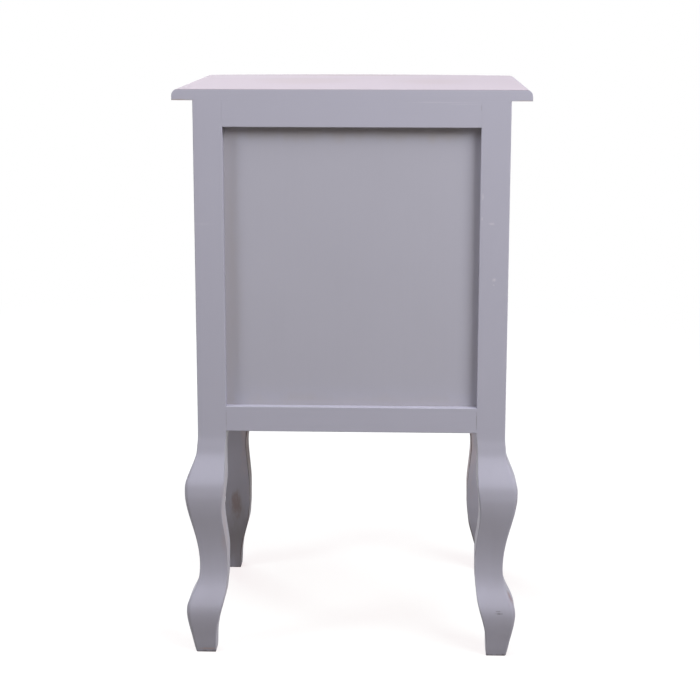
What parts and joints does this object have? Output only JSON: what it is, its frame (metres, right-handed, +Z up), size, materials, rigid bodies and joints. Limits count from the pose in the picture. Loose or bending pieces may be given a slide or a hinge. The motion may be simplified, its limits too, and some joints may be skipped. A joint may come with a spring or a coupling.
{
  "type": "small chest of drawers",
  "caption": "Small painted chest of drawers with a bow front, a panelled back and sides, curved legs and round knobs.",
  "frame": {"origin": "on the floor, in the middle of the space that the chest takes up", "axes": "+Z up; the drawers face -Y and the panelled back faces +Y; +X is to the right of someone facing the drawers"},
  "size_m": [0.3828, 0.3606, 0.63],
  "materials": {
    "painted_wood": "satin lilac-grey paint, lightly rubbed",
    "bare_wood": "planed, unpainted",
    "plywood": "sanded, unpainted",
    "brass": "aged satin",
    "steel": "zinc plated"
  },
  "bodies": {
    "case": {"top_board": "painted_wood", "rear_right_leg": "painted_wood", "rear_left_leg": "painted_wood", "front_left_leg": "painted_wood", "front_right_leg": "painted_wood", "back_bottom_rail": "painted_wood", "back_top_rail": "painted_wood", "left_side_bottom_rail": "painted_wood", "left_side_top_rail": "painted_wood", "right_side_bottom_rail": "painted_wood", "right_side_top_rail": "painted_wood", "lower_divider_rail": "painted_wood", "upper_divider_rail": "painted_wood", "front_top_rail": "painted_wood", "front_apron": "painted_wood", "back_panel": "painted_wood", "left_side_panel": "painted_wood", "right_side_panel": "painted_wood", "bottom_left_runner": "bare_wood", "bottom_right_runner": "bare_wood", "middle_left_runner": "bare_wood", "middle_right_runner": "bare_wood", "top_left_runner": "bare_wood", "top_right_runner": "bare_wood", "left_kicker": "bare_wood", "right_kicker": "bare_wood", "bottom_drawer_stop": "bare_wood", "middle_drawer_stop": "bare_wood", "top_drawer_stop": "bare_wood", "front_left_top_screw": "steel", "front_right_top_screw": "steel", "rear_left_top_screw": "steel", "rear_right_top_screw": "steel"},
    "bottom_drawer": {"bottom_drawer_front": "painted_wood", "bottom_drawer_left_side": "bare_wood", "bottom_drawer_right_side": "bare_wood", "bottom_drawer_back": "bare_wood", "bottom_drawer_bottom": "plywood", "bottom_drawer_knob": "brass", "bottom_drawer_knob_screw": "steel"},
    "middle_drawer": {"middle_drawer_front": "painted_wood", "middle_drawer_left_side": "bare_wood", "middle_drawer_right_side": "bare_wood", "middle_drawer_back": "bare_wood", "middle_drawer_bottom": "plywood", "middle_drawer_knob": "brass", "middle_drawer_knob_screw": "steel"},
    "top_drawer": {"top_drawer_front": "painted_wood", "top_drawer_left_side": "bare_wood", "top_drawer_right_side": "bare_wood", "top_drawer_back": "bare_wood", "top_drawer_bottom": "plywood", "top_drawer_knob": "brass", "top_drawer_knob_screw": "steel"}
  },
  "joints": [
    {"name": "bottom_drawer_slide", "type": "slide", "parent": "case", "child": "bottom_drawer", "axis": [0, -1, 0], "range_m": [0, 0.19]},
    {"name": "middle_drawer_slide", "type": "slide", "parent": "case", "child": "middle_drawer", "axis": [0, -1, 0], "range_m": [0, 0.19]},
    {"name": "top_drawer_slide", "type": "slide", "parent": "case", "child": "top_drawer", "axis": [0, -1, 0], "range_m": [0, 0.19]}
  ]
}
